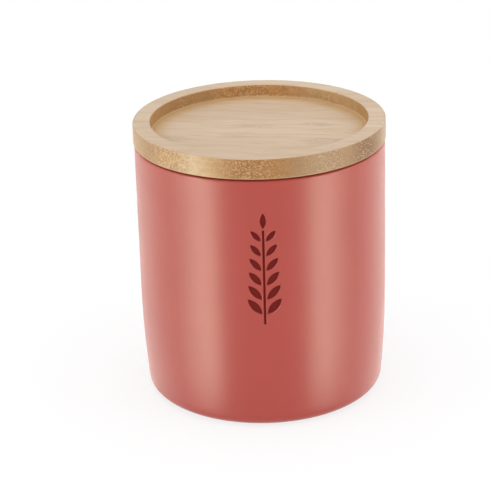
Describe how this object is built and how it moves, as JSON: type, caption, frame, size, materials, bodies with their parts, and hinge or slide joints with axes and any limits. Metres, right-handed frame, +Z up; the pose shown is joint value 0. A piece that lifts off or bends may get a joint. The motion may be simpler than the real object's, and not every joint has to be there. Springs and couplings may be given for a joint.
{
  "type": "lidded cotton jar",
  "caption": "Round ceramic jar with a slightly tucked-in base and a turned bamboo lid whose plug seals in the mouth with a finned silicone ring; keeps cotton pads and balls.",
  "frame": {"origin": "middle of the foot, on the surface that the jar stands on", "axes": "+Z up along the jar's axis of turning; the camera of the picture looks from the -Y side"},
  "size_m": [0.1, 0.1, 0.1126],
  "materials": {
    "jar_coat": "smooth matte coral glaze with a soft sheen",
    "bamboo": "sanded laminated bamboo, lightly oiled",
    "silicone": "moulded translucent silicone, satin"
  },
  "bodies": {
    "jar": {"jar": "jar_coat"},
    "lid": {"lid": "bamboo", "seal_ring": "silicone"}
  },
  "joints": [
    {"name": "lid_lift", "type": "slide", "parent": "jar", "child": "lid", "axis": [0, 0, 1], "range_m": [0, 0.06]}
  ]
}
